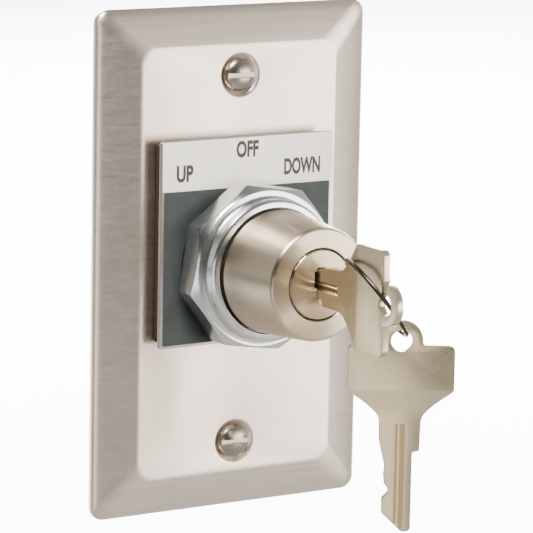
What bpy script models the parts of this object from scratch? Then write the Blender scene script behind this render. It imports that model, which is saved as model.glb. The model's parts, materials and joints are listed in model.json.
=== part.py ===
"""Selector key switch on a single-gang wall plate: UP / OFF / DOWN, with two keys on a ring.

Every piece is modelled face up on a bench: x to the right, y up the wall, z out of the wall.
The bench stands on the empty "wall_frame", which turns it upright, so that in the world the wall
is the plane y = 0, the front faces -Y, +Z is up, and the lock's axis is the world's Y axis.
"""
import math

import bmesh
import bpy
from mathutils import Vector

MM = 0.001

# ---- driving sizes, in millimetres --------------------------------------------------------------
GAP = 0.3                      # clearance between neighbouring pieces
SEGMENTS = 36                  # facets round the large turned pieces
FINE_SEGMENTS = 24             # facets round the middling ones
SMALL_SEGMENTS = 12            # facets round screws, holes and push rods

# Single-gang wall plate, the standard 2.75 x 4.5 inch
PLATE_WIDTH = 69.85
PLATE_HEIGHT = 114.3
PLATE_DEPTH = 4.6
PLATE_SHEET = 0.9
PLATE_SKIRT = 1.0
PLATE_CORNER = 3.2
PLATE_BEVEL_SIDE = 9.4
PLATE_BEVEL_END = 8.4
BOX_SCREW_SPACING = 83.34      # device-box screws, centre to centre
PLATE_SCREW_RADIUS = 3.6
PLATE_SCREW_LENGTH = 20.0
SCREW_SHANK_RADIUS = 1.75

# Legend plate and the spacer behind it
LEGEND_HALF_WIDTH = 22.3
LEGEND_TOP = 28.4
LEGEND_BOTTOM = -17.8
LEGEND_BACK = 7.6
LEGEND_FRONT = 8.8
SPACER_HALF_WIDTH = 21.6
SPACER_TOP = 27.6
SPACER_BOTTOM = -16.8

# Threaded bushing of the operator body and what is clamped on it
BUSHING_RADIUS = 14.6
BUSHING_TOP = 19.7
FLANGE_RADIUS = 18.0
GASKET_RADIUS = 17.4
GASKET_BACK = 9.1
GASKET_FRONT = 10.4
NUT_CORNER_RADIUS = 19.4
NUT_TURN = 14.0                # degrees from +x to the nut's first corner
NUT_BACK = 10.7
NUT_SLAB_TOP = 17.0
NUT_COLLAR_RADIUS = 16.0
NUT_TOP = 20.4

# Lock barrel and plug
BARREL_BASE = 21.3
BARREL_FRONT = 39.0
BARREL_BASE_RADIUS = 14.0
BARREL_FRONT_RADIUS = 12.6
SLEEVE_RADIUS = 12.6
SLEEVE_BACK = 9.0
BORE_RADIUS = 8.0
BORE_BACK = 11.7
PLUG_RADIUS = 7.7
PLUG_FRONT = 38.9
PLUG_BACK = 12.0
TAIL_RADIUS = 4.0
TAIL_TIP_RADIUS = 3.0
TAIL_TIP_TOP = 2.6
TAIL_TIP_BACK = -1.6
TAIL_FLAT = 2.4                # half the distance across the tail's drive flats
KEYWAY_LEFT = -1.9
KEYWAY_RIGHT = 1.25
KEYWAY_HALF_HEIGHT = 4.3
KEYWAY_BACK = 21.4
WAFER_COUNT = 5
WAFER_FIRST = 36.2             # height of the front wafer's middle
WAFER_PITCH = 3.0
WAFER_THICKNESS = 0.8
WAFER_HALF_WIDTH = 3.1

# Cam drum: its rear face is a triangle wave, so the plungers move in step with the key
CAM_RADIUS = 11.0
CAM_HUB_RADIUS = 5.0
CAM_FRONT = 2.0
CAM_DISC_BACK = -2.0
CAM_MID_LEVEL = -5.8
PLUNGER_TRAVEL = 1.6           # each way, at KEY_TURN_LIMIT
KEY_TURN_LIMIT = math.radians(45.0)
CAM_RISE = PLUNGER_TRAVEL / KEY_TURN_LIMIT
PLUNGER_OFFSET = 8.0           # plunger axes left and right of the lock's axis
PLUNGER_RADIUS = 1.6

# Rear cup, its cover and the spring-loaded detent
WEB_FRONT = 6.0
WEB_BACK = 3.0
CUP_RADIUS = 16.0
CUP_BORE = 13.0
CUP_BACK = -10.0
COVER_FRONT = -10.3
COVER_BACK = -11.7
COVER_HALF_WIDTH = 17.0
COVER_HALF_HEIGHT = 16.5
COVER_SCREW_OFFSET = 14.5
DETENT_LEVEL = -4.5
DETENT_BALL_RADIUS = 1.5
DETENT_BALL_OFFSET = CAM_RADIUS + GAP + DETENT_BALL_RADIUS
DETENT_BORE = 1.8
DETENT_BOSS_TOP = 21.5

# Contact blocks, one for UP on the left and one for DOWN on the right
BLOCK_INNER = 0.3
BLOCK_OUTER = 15.6
BLOCK_COVER_OUTER = 17.0
BLOCK_HALF_HEIGHT = 12.8
BLOCK_FRONT = -12.0
BLOCK_BACK = -27.0
CAVITY_INNER = 2.0
CAVITY_HALF_HEIGHT = 9.3
CAVITY_FRONT = -13.6
CAVITY_BACK = -25.6
TERMINAL_FRONT = -20.6
TERMINAL_BACK = -21.4
TERMINAL_HALF_WIDTH = 3.0
TERMINAL_START = 3.3
TERMINAL_END = 20.0
TERMINAL_SCREW_OFFSET = 16.8
CONTACT_OFFSET = 4.9
BRIDGE_FRONT = -16.8
BRIDGE_BACK = -17.6
BLOCK_SCREW_X = 13.6
BLOCK_SCREW_Y = 11.0

# Key, measured along its length from the end of the loop tab to the tip of the blade
KEY_LENGTH = 46.5
KEY_THICKNESS = 1.8
TAB_RADIUS = 4.6
KEY_HOLE_RADIUS = 2.3
WING_START = 5.4
WING_HALF_WIDTH = 11.5
WING_CORNER = 1.6
WING_END = 15.6
SHANK_START = 20.0
SHANK_HALF_WIDTH = 4.45
SHANK_END = 28.7
BLADE_BACK = 2.8               # the blade's straight back, from the key's centre line
BLADE_FRONT = 3.6              # its uncut front edge, on the other side
KEY_TAB_END = 69.6             # height of the inserted key's tab end above the wall

# Key ring: a wire circle through the inserted key's hole and over its shank
RING_RADIUS = 10.15
RING_WIRE = 0.5
RING_CENTRE = Vector((3.53, -0.34, 55.46))
RING_NORMAL = Vector((-0.7497, -0.6116, -0.2528)).normalized()

# The spare key hangs from the ring's lowest point, turned to face the viewer's left
SPARE_TURN = math.radians(31.5)
SPARE_HANG = Vector((-0.4, -1.4))   # its hole's centre from the wire, across and down

COLLECTION_NAME = "selector_key_switch"
CUTTER_COLLECTION_NAME = "cutters"

MATERIALS = {
    "brushed_stainless": ((0.78, 0.75, 0.71), 0.34, 1.0),
    "plated_screw": ((0.72, 0.70, 0.66), 0.28, 1.0),
    "legend_dark": ((0.075, 0.085, 0.085), 0.55, 0.0),
    "spacer_black": ((0.055, 0.045, 0.040), 0.60, 0.0),
    "gasket_rubber": ((0.030, 0.030, 0.030), 0.80, 0.0),
    "bright_zinc": ((0.86, 0.87, 0.88), 0.20, 1.0),
    "satin_nickel": ((0.72, 0.66, 0.57), 0.30, 1.0),
    "plug_nickel": ((0.70, 0.62, 0.46), 0.32, 1.0),
    "die_cast": ((0.55, 0.55, 0.54), 0.50, 1.0),
    "cam_plastic": ((0.80, 0.78, 0.70), 0.45, 0.0),
    "block_plastic": ((0.06, 0.06, 0.065), 0.50, 0.0),
    "plunger_plastic": ((0.70, 0.12, 0.08), 0.45, 0.0),
    "brass": ((0.80, 0.62, 0.30), 0.28, 1.0),
    "spring_steel": ((0.62, 0.62, 0.62), 0.30, 1.0),
    "key_nickel": ((0.76, 0.70, 0.60), 0.30, 1.0),
    "ring_steel": ((0.30, 0.29, 0.28), 0.30, 1.0),
}


# ---- scene and bookkeeping ----------------------------------------------------------------------
def clear_scene():
    for thing in list(bpy.data.objects):
        bpy.data.objects.remove(thing, do_unlink=True)


def new_collection(name):
    collection = bpy.data.collections.new(name)
    bpy.context.scene.collection.children.link(collection)
    return collection


def new_material(name):
    """A Principled material with this finish's colour, roughness and metallic value."""
    if name in bpy.data.materials:
        return bpy.data.materials[name]
    colour, roughness, metallic = MATERIALS[name]
    material = bpy.data.materials.new(name)
    material.use_nodes = True
    shader = material.node_tree.nodes["Principled BSDF"]
    shader.inputs["Base Color"].default_value = (*colour, 1.0)
    shader.inputs["Roughness"].default_value = roughness
    shader.inputs["Metallic"].default_value = metallic
    return material


clear_scene()
PARTS = new_collection(COLLECTION_NAME)
CUTTERS = new_collection(CUTTER_COLLECTION_NAME)


def new_empty(name, parent=None, location=(0, 0, 0), rotation=(0, 0, 0)):
    empty = bpy.data.objects.new(name, None)
    empty.empty_display_size = 5 * MM
    empty.parent = parent
    empty.location = Vector(location) * MM
    empty.rotation_euler = rotation
    PARTS.objects.link(empty)
    return empty


WALL_FRAME = new_empty("wall_frame", rotation=(math.radians(90), 0, 0))


def add_piece(name, mesh, finish, parent=None, location=(0, 0, 0)):
    """Put a mesh in the parts collection as one named piece with its own material."""
    piece = bpy.data.objects.new(name, mesh)
    piece.parent = parent or WALL_FRAME
    piece.location = Vector(location) * MM
    mesh.materials.clear()
    mesh.materials.append(new_material(finish))
    PARTS.objects.link(piece)
    return piece


def add_cutter(name, mesh, parent=None, location=(0, 0, 0)):
    """Put a mesh in the cutters collection, where it is a tool and not a piece."""
    cutter = bpy.data.objects.new(name, mesh)
    cutter.parent = parent or WALL_FRAME
    cutter.location = Vector(location) * MM
    cutter.hide_render = True
    cutter.display_type = "WIRE"
    CUTTERS.objects.link(cutter)
    return cutter


def boolean(piece, cutter, operation="DIFFERENCE"):
    modifier = piece.modifiers.new(cutter.name, "BOOLEAN")
    modifier.operation = operation
    modifier.solver = "EXACT"
    modifier.object = cutter


# ---- meshes -------------------------------------------------------------------------------------
def mesh_from(bm, name):
    mesh = bpy.data.meshes.new(name)
    bmesh.ops.recalc_face_normals(bm, faces=bm.faces)
    bm.to_mesh(mesh)
    bm.free()
    return mesh


def box_mesh(name, low, high):
    """An axis-parallel box between two corners."""
    bm = bmesh.new()
    bmesh.ops.create_cube(bm, size=1.0)
    low = Vector(low) * MM
    high = Vector(high) * MM
    for vertex in bm.verts:
        vertex.co = Vector((low[i] + (vertex.co[i] + 0.5) * (high[i] - low[i]) for i in range(3)))
    return mesh_from(bm, name)


def cylinder_mesh(name, radius, back, front, centre=(0, 0), segments=FINE_SEGMENTS, front_radius=None):
    """A cylinder along z, or a cone where the front radius differs."""
    bm = bmesh.new()
    bmesh.ops.create_cone(bm, cap_ends=True, segments=segments, depth=(front - back) * MM,
                          radius1=radius * MM, radius2=(front_radius or radius) * MM)
    middle = Vector((centre[0], centre[1], (back + front) / 2)) * MM
    bmesh.ops.translate(bm, verts=bm.verts, vec=middle)
    return mesh_from(bm, name)


def turned(name, profile, finish, segments=SEGMENTS, closed=True, **place):
    """Spin (radius, height) points about z. The profile runs down its outer side and back up."""
    mesh = bpy.data.meshes.new(name)
    points = [(radius * MM, 0, height * MM) for radius, height in profile]
    edges = [(i, i + 1) for i in range(len(points) - 1)]
    if closed:
        edges.append((len(points) - 1, 0))
    mesh.from_pydata(points, edges, [])
    piece = add_piece(name, mesh, finish, **place)
    screw = piece.modifiers.new("spin", "SCREW")
    screw.axis = "Z"
    screw.angle = math.tau
    screw.steps = segments
    screw.render_steps = segments
    screw.use_merge_vertices = True
    screw.merge_threshold = 0.00001
    screw.use_smooth_shade = True
    return piece


def arc(centre, radius, start, end, count):
    """Points on a circular arc, angles in degrees."""
    points = []
    for i in range(count + 1):
        angle = math.radians(start + (end - start) * i / count)
        points.append((centre[0] + radius * math.cos(angle), centre[1] + radius * math.sin(angle)))
    return points


def circle(radius, centre=(0, 0), segments=FINE_SEGMENTS):
    return arc(centre, radius, 0, 360, segments)[:-1]


def rectangle(left, bottom, right, top, corner=0.0, steps=3):
    """A rectangle's outline, with round corners where a radius is given."""
    if corner <= 0:
        return [(left, bottom), (right, bottom), (right, top), (left, top)]
    points = arc((right - corner, top - corner), corner, 0, 90, steps)
    points += arc((left + corner, top - corner), corner, 90, 180, steps)
    points += arc((left + corner, bottom + corner), corner, 180, 270, steps)
    points += arc((right - corner, bottom + corner), corner, 270, 360, steps)
    return points


def flat_mesh(name, outlines, back, front):
    """A sheet between two heights: the first outline is its edge and the rest are holes."""
    curve = bpy.data.curves.new(name, "CURVE")
    curve.dimensions = "2D"
    curve.fill_mode = "BOTH"
    curve.extrude = (front - back) / 2 * MM
    for outline in outlines:
        spline = curve.splines.new("POLY")
        spline.points.add(len(outline) - 1)
        for point, (x, y) in zip(spline.points, outline):
            point.co = (x * MM, y * MM, 0, 1)
        spline.use_cyclic_u = True
    return welded_mesh(curve, name, (0, 0, (front + back) / 2))


def welded_mesh(curve, name, shift=(0, 0, 0)):
    """The solid mesh of a curve, with its loose caps welded on."""
    guide = bpy.data.objects.new(name, curve)
    CUTTERS.objects.link(guide)
    bpy.context.view_layer.update()
    evaluated = guide.evaluated_get(bpy.context.evaluated_depsgraph_get())
    rough = bpy.data.meshes.new_from_object(evaluated)
    bpy.data.objects.remove(guide, do_unlink=True)
    bpy.data.curves.remove(curve)
    bm = bmesh.new()
    bm.from_mesh(rough)
    bpy.data.meshes.remove(rough)
    bmesh.ops.remove_doubles(bm, verts=bm.verts, dist=0.000002)
    bmesh.ops.translate(bm, verts=bm.verts, vec=Vector(shift) * MM)
    return mesh_from(bm, name)


def wire_mesh(name, points, radius, cyclic=False, resolution=0):
    """A round wire through points given in millimetres."""
    curve = bpy.data.curves.new(name, "CURVE")
    curve.dimensions = "3D"
    curve.bevel_depth = radius * MM
    curve.bevel_resolution = resolution
    curve.use_fill_caps = not cyclic
    spline = curve.splines.new("POLY")
    spline.points.add(len(points) - 1)
    for point, position in zip(spline.points, points):
        point.co = (*(Vector(position) * MM), 1)
    spline.use_cyclic_u = cyclic
    return welded_mesh(curve, name)


def coil_points(coil_radius, length, turns, per_turn=8):
    """A helix along z from height 0, its ends on the coil."""
    points = []
    count = round(turns * per_turn)
    for i in range(count + 1):
        angle = math.tau * i / per_turn
        points.append((coil_radius * math.cos(angle), coil_radius * math.sin(angle), length * i / count))
    return points


# ---- wall plate ---------------------------------------------------------------------------------
def plate_loops():
    """Outlines of the plate from the wall forward: half width, half height, corner and height."""
    half_x = PLATE_WIDTH / 2
    half_y = PLATE_HEIGHT / 2
    return [
        (half_x, half_y, PLATE_CORNER, 0.0),
        (half_x, half_y, PLATE_CORNER, PLATE_SKIRT),
        (half_x - 0.7, half_y - 0.7, PLATE_CORNER, PLATE_SKIRT + 0.7),
        (half_x - PLATE_BEVEL_SIDE + 1.2, half_y - PLATE_BEVEL_END + 1.2, 2.4, PLATE_DEPTH - 0.35),
        (half_x - PLATE_BEVEL_SIDE, half_y - PLATE_BEVEL_END, 2.0, PLATE_DEPTH),
    ]


def wall_plate():
    """One stainless sheet: a skirt, a broad sloping rim and a flat face, hollow behind."""
    bm = bmesh.new()
    loops = []
    for half_x, half_y, corner, height in plate_loops():
        outline = rectangle(-half_x, -half_y, half_x, half_y, corner, steps=4)
        loops.append([bm.verts.new((x * MM, y * MM, height * MM)) for x, y in outline])
    for lower, upper in zip(loops, loops[1:]):
        for i in range(len(lower)):
            j = (i + 1) % len(lower)
            bm.faces.new((lower[i], lower[j], upper[j], upper[i]))
    bm.faces.new(loops[-1])
    mesh = bpy.data.meshes.new("wall_plate")
    bm.to_mesh(mesh)
    bm.free()
    plate = add_piece("wall_plate", mesh, "brushed_stainless")
    shell = plate.modifiers.new("sheet", "SOLIDIFY")
    shell.thickness = PLATE_SHEET * MM
    shell.offset = -1
    shell.use_even_offset = True
    opening = cylinder_mesh("plate_opening", BUSHING_RADIUS + GAP, 0, 10, segments=SEGMENTS)
    boolean(plate, add_cutter("plate_opening", opening))
    for sign, end in ((1, "top"), (-1, "bottom")):
        centre = (0, sign * BOX_SCREW_SPACING / 2)
        sink = cylinder_mesh("sink_" + end, 2.1, 3.0, 5.0, centre, front_radius=4.1)
        boolean(plate, add_cutter("sink_" + end, sink))


def plate_screws():
    """Two oval-head slotted screws that hold the plate to the box in the wall."""
    top = PLATE_DEPTH + 0.35
    profile = [(0, top + 1.05), (1.4, top + 0.95), (2.6, top + 0.6), (PLATE_SCREW_RADIUS, top),
               (SCREW_SHANK_RADIUS, top - 1.9), (SCREW_SHANK_RADIUS, top - PLATE_SCREW_LENGTH),
               (0, top - PLATE_SCREW_LENGTH - 0.6)]
    for sign, end in ((1, "top"), (-1, "bottom")):
        place = (0, sign * BOX_SCREW_SPACING / 2, 0)
        screw = turned("plate_screw_" + end, profile, "plated_screw", FINE_SEGMENTS, False, location=place)
        slot = box_mesh("slot_" + end, (-5, -0.5, top + 0.1), (5, 0.5, top + 2))
        boolean(screw, add_cutter("slot_" + end, slot, location=place))


# ---- legend, gaskets and nut --------------------------------------------------------------------
def legend():
    edge = rectangle(-LEGEND_HALF_WIDTH, LEGEND_BOTTOM, LEGEND_HALF_WIDTH, LEGEND_TOP, 0.6, 2)
    hole = circle(BUSHING_RADIUS + GAP, segments=SEGMENTS)
    add_piece("legend_plate", flat_mesh("legend_plate", [edge, hole], LEGEND_BACK, LEGEND_FRONT),
              "legend_dark")
    edge = rectangle(-SPACER_HALF_WIDTH, SPACER_BOTTOM, SPACER_HALF_WIDTH, SPACER_TOP, 0.6, 2)
    add_piece("legend_spacer", flat_mesh("legend_spacer", [edge, hole], PLATE_DEPTH + GAP, LEGEND_BACK - GAP),
              "spacer_black")


def ring_profile(inner, outer, back, front, chamfer=0.0):
    """A ring's closed section, running down its outer side."""
    return [(outer - chamfer, front), (outer, front - chamfer), (outer, back), (inner, back),
            (inner, front)] if chamfer else [(outer, front), (outer, back), (inner, back), (inner, front)]


def gaskets():
    inner = BUSHING_RADIUS + GAP
    turned("front_gasket", ring_profile(inner, GASKET_RADIUS, GASKET_BACK, GASKET_FRONT, 0.4), "gasket_rubber")
    plate_back = PLATE_DEPTH - PLATE_SHEET
    turned("rear_gasket", ring_profile(inner, FLANGE_RADIUS, 2.2, plate_back - GAP), "gasket_rubber")
    turned("barrel_seal", ring_profile(SLEEVE_RADIUS + GAP, 14.4, BUSHING_TOP + GAP, BARREL_BASE - GAP),
           "gasket_rubber")


def ring_nut():
    """Octagonal nut: a turned blank with a chamfered front and a round collar, cut to eight flats."""
    inner = BUSHING_RADIUS + GAP
    inscribed = NUT_CORNER_RADIUS * math.cos(math.radians(22.5))
    blank = [(15.4, NUT_TOP), (NUT_COLLAR_RADIUS, NUT_TOP - 0.7), (NUT_COLLAR_RADIUS, NUT_SLAB_TOP),
             (inscribed - 0.2, NUT_SLAB_TOP), (NUT_CORNER_RADIUS + 0.6, NUT_SLAB_TOP - 1.9),
             (NUT_CORNER_RADIUS + 0.6, NUT_BACK), (inner, NUT_BACK), (inner, NUT_TOP - 0.4)]
    nut = turned("ring_nut", blank, "bright_zinc")
    corners = [(NUT_CORNER_RADIUS * math.cos(math.radians(NUT_TURN + 45 * i)),
                NUT_CORNER_RADIUS * math.sin(math.radians(NUT_TURN + 45 * i))) for i in range(8)]
    flats = flat_mesh("nut_flats", [corners], NUT_BACK - 2, NUT_TOP + 2)
    boolean(nut, add_cutter("nut_flats", flats), "INTERSECT")


# ---- operator body, lock barrel and rear cover --------------------------------------------------
def operator_body():
    """Die casting: threaded bushing, clamping flange, a web for the tail and a cup for the cam."""
    inner = SLEEVE_RADIUS + GAP
    profile = [(BUSHING_RADIUS, BUSHING_TOP), (BUSHING_RADIUS, 1.9), (FLANGE_RADIUS, 1.9),
               (FLANGE_RADIUS, -1.5), (CUP_RADIUS, -1.5), (CUP_RADIUS, CUP_BACK), (CUP_BORE, CUP_BACK),
               (CUP_BORE, WEB_BACK), (TAIL_RADIUS + 0.4, WEB_BACK), (TAIL_RADIUS + 0.4, WEB_FRONT),
               (inner, WEB_FRONT), (inner, BUSHING_TOP)]
    body = turned("operator_body", profile, "die_cast")
    boss = upright_cylinder("detent_boss", 3.2, CUP_BORE + 1.2, DETENT_BOSS_TOP)
    boolean(body, boss, "UNION")
    boolean(body, upright_cylinder("detent_bore", DETENT_BORE, CUP_BORE - 2, DETENT_BOSS_TOP + 1))
    for sign, end in ((1, "top"), (-1, "bottom")):
        hole = cylinder_mesh("cover_tap_" + end, 1.2, CUP_BACK - 1, CUP_BACK + 3.5,
                             (0, sign * COVER_SCREW_OFFSET), SMALL_SEGMENTS)
        boolean(body, add_cutter("cover_tap_" + end, hole))


def upright_cylinder(name, radius, low, high):
    """A cutter along y through the detent's centre line."""
    mesh = cylinder_mesh(name, radius, low, high, segments=16)
    cutter = add_cutter(name, mesh, location=(0, 0, DETENT_LEVEL))
    cutter.rotation_euler = (math.radians(-90), 0, 0)
    return cutter


def lock_barrel():
    """Tapered nose with a rounded front edge, and the sleeve that sits in the bushing."""
    edge = 0.9
    nose = arc((BARREL_FRONT_RADIUS - edge, BARREL_FRONT - edge), edge, 90, 5, 4)
    profile = nose + [(BARREL_BASE_RADIUS, BARREL_BASE), (SLEEVE_RADIUS, BARREL_BASE),
                      (SLEEVE_RADIUS, SLEEVE_BACK), (TAIL_RADIUS + 0.4, SLEEVE_BACK),
                      (TAIL_RADIUS + 0.4, BORE_BACK), (BORE_RADIUS, BORE_BACK), (BORE_RADIUS, BARREL_FRONT)]
    turned("lock_barrel", profile, "satin_nickel")


def rear_cover():
    edge = rectangle(-COVER_HALF_WIDTH, -COVER_HALF_HEIGHT, COVER_HALF_WIDTH, COVER_HALF_HEIGHT, 2.0)
    holes = [circle(PLUNGER_RADIUS + GAP, (side * PLUNGER_OFFSET, 0), SMALL_SEGMENTS) for side in (-1, 1)]
    holes += [circle(1.4, (side * BLOCK_SCREW_X, BLOCK_SCREW_Y), SMALL_SEGMENTS) for side in (-1, 1)]
    holes += [circle(1.3, (0, end * COVER_SCREW_OFFSET), SMALL_SEGMENTS) for end in (-1, 1)]
    add_piece("rear_cover", flat_mesh("rear_cover", [edge] + holes, COVER_BACK, COVER_FRONT), "die_cast")
    for sign, end in ((1, "top"), (-1, "bottom")):
        small_screw("cover_screw_" + end, (0, sign * COVER_SCREW_OFFSET, COVER_BACK - GAP), 1.4, 1.0, 5.2, 1.1)


def small_screw(name, place, head_radius, shank_radius, length, head_height):
    """A slotted screw seen from behind: place is the middle of the face under its head."""
    profile = [(0, length), (shank_radius, length), (shank_radius, 0), (head_radius, 0),
               (head_radius, -head_height), (0, -head_height)]
    screw = turned(name, profile, "plated_screw", SMALL_SEGMENTS, False, location=place)
    half_slot = 0.14 * head_radius + 0.1
    reach = head_radius + 1
    slot = box_mesh(name + "_slot", (-reach, -half_slot, -head_height - 1), (reach, half_slot, -head_height + 0.5))
    boolean(screw, add_cutter(name + "_slot", slot, location=place))
    return screw


# ---- detent -------------------------------------------------------------------------------------
def detent():
    """A ball that drops into the drum's three notches, its spring and the plug behind them."""
    bm = bmesh.new()
    bmesh.ops.create_uvsphere(bm, u_segments=12, v_segments=8, radius=DETENT_BALL_RADIUS * MM)
    place = (0, DETENT_BALL_OFFSET, DETENT_LEVEL)
    add_piece("detent_ball", mesh_from(bm, "detent_ball"), "spring_steel", location=place)
    spring_start = DETENT_BALL_OFFSET + DETENT_BALL_RADIUS + 1.0
    plug_start = DETENT_BOSS_TOP - 1.9
    coil = coil_points(1.1, plug_start - spring_start - 0.5, 4, 6)
    spring = add_piece("detent_spring", wire_mesh("detent_spring", coil, 0.2), "spring_steel",
                       location=(0, spring_start, DETENT_LEVEL))
    spring.rotation_euler = (math.radians(-90), 0, 0)
    plug = turned("detent_plug", [(0, 1.7), (1.5, 1.7), (1.5, 0), (0, 0)], "brass", SMALL_SEGMENTS, False,
                  location=(0, plug_start, DETENT_LEVEL))
    plug.rotation_euler = (math.radians(-90), 0, 0)


# ---- plug, wafers and cam -----------------------------------------------------------------------
def wafer_levels():
    return [WAFER_FIRST - WAFER_PITCH * i for i in range(WAFER_COUNT)]


def lock_plug(parent):
    """The turning core: keyway, five wafer slots with spring pockets, a clip groove and a tail."""
    profile = [(0, PLUG_FRONT), (PLUG_RADIUS - 0.3, PLUG_FRONT), (PLUG_RADIUS, PLUG_FRONT - 0.3),
               (PLUG_RADIUS, PLUG_BACK), (TAIL_RADIUS, PLUG_BACK), (TAIL_RADIUS, SLEEVE_BACK),
               (3.0, SLEEVE_BACK), (3.0, 7.6), (TAIL_RADIUS, 7.6), (TAIL_RADIUS, TAIL_TIP_TOP),
               (TAIL_TIP_RADIUS, TAIL_TIP_TOP), (TAIL_TIP_RADIUS, TAIL_TIP_BACK), (1.55, TAIL_TIP_BACK),
               (1.55, 5.0), (0, 5.0)]
    plug = turned("lock_plug", profile, "plug_nickel", FINE_SEGMENTS, False, parent=parent)
    keyway = box_mesh("keyway", (KEYWAY_LEFT, -KEYWAY_HALF_HEIGHT, KEYWAY_BACK),
                      (KEYWAY_RIGHT, KEYWAY_HALF_HEIGHT, PLUG_FRONT + 2))
    boolean(plug, add_cutter("keyway", keyway, parent=parent))
    half = WAFER_HALF_WIDTH + GAP
    slot = [(-half, -9), (half, -9), (half, -2.6), (5.7, -2.6), (5.7, 4.0), (half, 4.0), (half, 9), (-half, 9)]
    for number, level in enumerate(wafer_levels(), 1):
        half_slot = WAFER_THICKNESS / 2 + GAP
        mesh = flat_mesh("wafer_slot_%d" % number, [slot], level - half_slot, level + half_slot)
        boolean(plug, add_cutter("wafer_slot_%d" % number, mesh, parent=parent))
    for sign, side in ((-1, "left"), (1, "right")):
        flat = box_mesh("tail_flat_" + side, (min(sign * TAIL_FLAT, sign * 6), -6, TAIL_TIP_BACK - 1),
                        (max(sign * TAIL_FLAT, sign * 6), 6, TAIL_TIP_TOP - 0.05))
        boolean(plug, add_cutter("tail_flat_" + side, flat, parent=parent))


def wafers(parent):
    """Flat tumblers with round ends, a window for the blade and an ear that its spring pushes."""
    end_radius = PLUG_RADIUS - GAP
    half_angle = math.degrees(math.asin(WAFER_HALF_WIDTH / end_radius))
    outline = arc((0, 0), end_radius, 90 - half_angle, 90 + half_angle, 4)
    outline += arc((0, 0), end_radius, 270 - half_angle, 270 + half_angle, 4)
    outline += [(WAFER_HALF_WIDTH, -2.3), (5.4, -2.3), (5.4, -1.2), (WAFER_HALF_WIDTH, -1.2)]
    window = rectangle(-1.4, -3.95, 1.4, 3.95)
    for number, level in enumerate(wafer_levels(), 1):
        name = "wafer_%d" % number
        mesh = flat_mesh(name, [outline, window], level - WAFER_THICKNESS / 2, level + WAFER_THICKNESS / 2)
        add_piece(name, mesh, "brass", parent=parent)
        coil = wire_mesh("wafer_spring_%d" % number, coil_points(0.38, 4.2, 3, 5), 0.11)
        spring = add_piece("wafer_spring_%d" % number, coil, "spring_steel", parent=parent,
                           location=(4.4, -0.7, level))
        spring.rotation_euler = (math.radians(-90), 0, 0)


def retaining_clip(parent):
    """A split ring in the tail's groove keeps the plug in the barrel."""
    outline = arc((0, 0), 6.0, -60, 240, 20) + arc((0, 0), 3.3, 240, -60, 16)
    add_piece("retaining_clip", flat_mesh("retaining_clip", [outline], 7.9, 8.7), "spring_steel", parent=parent)


def cam_level(angle):
    """Height of the drum's rear face: lowest at the top of the drum and highest at its bottom."""
    turned_by = (angle + math.pi / 2) % math.tau - math.pi / 2
    wave = -turned_by if turned_by <= math.pi / 2 else turned_by - math.pi
    return CAM_MID_LEVEL + CAM_RISE * wave


def cam_drum(parent):
    """A disc keyed to the tail with a ring whose rear face drives both plungers."""
    count = 42
    bm = bmesh.new()
    rings = []
    for i in range(count):
        angle = math.tau * i / count
        hole = min(TAIL_TIP_RADIUS + GAP, (TAIL_FLAT + GAP) / max(abs(math.cos(angle)), 0.001))
        level = cam_level(angle)
        section = [(CAM_RADIUS, CAM_FRONT), (CAM_RADIUS, level), (CAM_HUB_RADIUS, level),
                   (CAM_HUB_RADIUS, CAM_DISC_BACK), (hole, CAM_DISC_BACK), (hole, CAM_FRONT)]
        rings.append([bm.verts.new((r * math.cos(angle) * MM, r * math.sin(angle) * MM, z * MM))
                      for r, z in section])
    for i in range(count):
        here, after = rings[i], rings[(i + 1) % count]
        for k in range(len(here)):
            j = (k + 1) % len(here)
            bm.faces.new((here[k], here[j], after[j], after[k]))
    drum = add_piece("cam_drum", mesh_from(bm, "cam_drum"), "cam_plastic", parent=parent)
    for degrees in (45, 90, 135):
        angle = math.radians(degrees)
        centre = (12.2 * math.cos(angle), 12.2 * math.sin(angle))
        name = "notch_%d" % degrees
        boolean(drum, add_cutter(name, cylinder_mesh(name, 1.9, -14.5, 3, centre, 14), parent=parent))


def plug_group():
    """Everything that turns with the key inside the lock."""
    axis = new_empty("plug_axis", WALL_FRAME)
    lock_plug(axis)
    wafers(axis)
    retaining_clip(axis)
    cam_drum(axis)
    screw = small_screw("cam_screw", (0, 0, CAM_DISC_BACK - GAP), 4.2, 1.25, 6.0, 1.6)
    screw.parent = axis
    bpy.data.objects["cam_screw_slot"].parent = axis


# ---- contact blocks -----------------------------------------------------------------------------
def mirrored(low, high, side):
    """A box's corners on the right (side 1) or mirrored to the left (side -1)."""
    xs = sorted((side * low[0], side * high[0]))
    return (xs[0], low[1], low[2]), (xs[1], high[1], high[2])


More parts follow.
